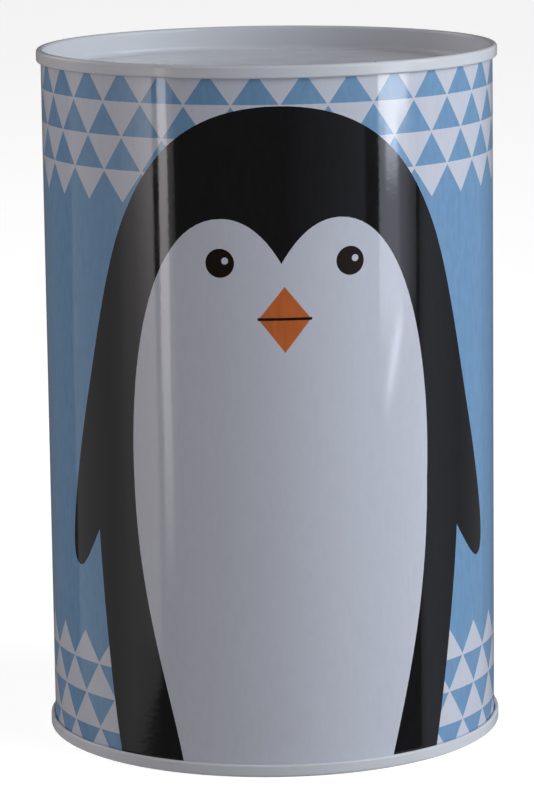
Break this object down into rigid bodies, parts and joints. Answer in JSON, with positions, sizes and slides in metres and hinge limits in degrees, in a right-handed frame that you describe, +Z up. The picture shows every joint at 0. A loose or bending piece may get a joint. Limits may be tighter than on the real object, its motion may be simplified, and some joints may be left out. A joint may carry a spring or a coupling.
{
  "type": "money box",
  "caption": "Round printed tinplate money box with seamed ends, a coin slot in the recessed top and a push-in stopper in the base.",
  "frame": {"origin": "centre of the base, on the plane of the lower seam that the tin stands on", "axes": "+Z up along the can's axis; the front of the printed picture faces -Y and the side seam is at +Y"},
  "size_m": [0.102, 0.102, 0.1535],
  "materials": {
    "printed_tinplate": "gloss varnish over a litho print",
    "white_lacquered_tinplate": "satin lacquer",
    "seam_compound": "matte",
    "stopper_plastic": "soft satin plastic"
  },
  "bodies": {
    "can": {"can_body": "printed_tinplate", "top_end": "white_lacquered_tinplate", "bottom_end": "white_lacquered_tinplate", "top_seam_sealant": "seam_compound", "bottom_seam_sealant": "seam_compound"},
    "stopper": {"base_stopper": "stopper_plastic"}
  },
  "joints": [
    {"name": "stopper_pull", "type": "slide", "parent": "can", "child": "stopper", "axis": [0, 0, -1], "range_m": [0, 0.03]}
  ]
}
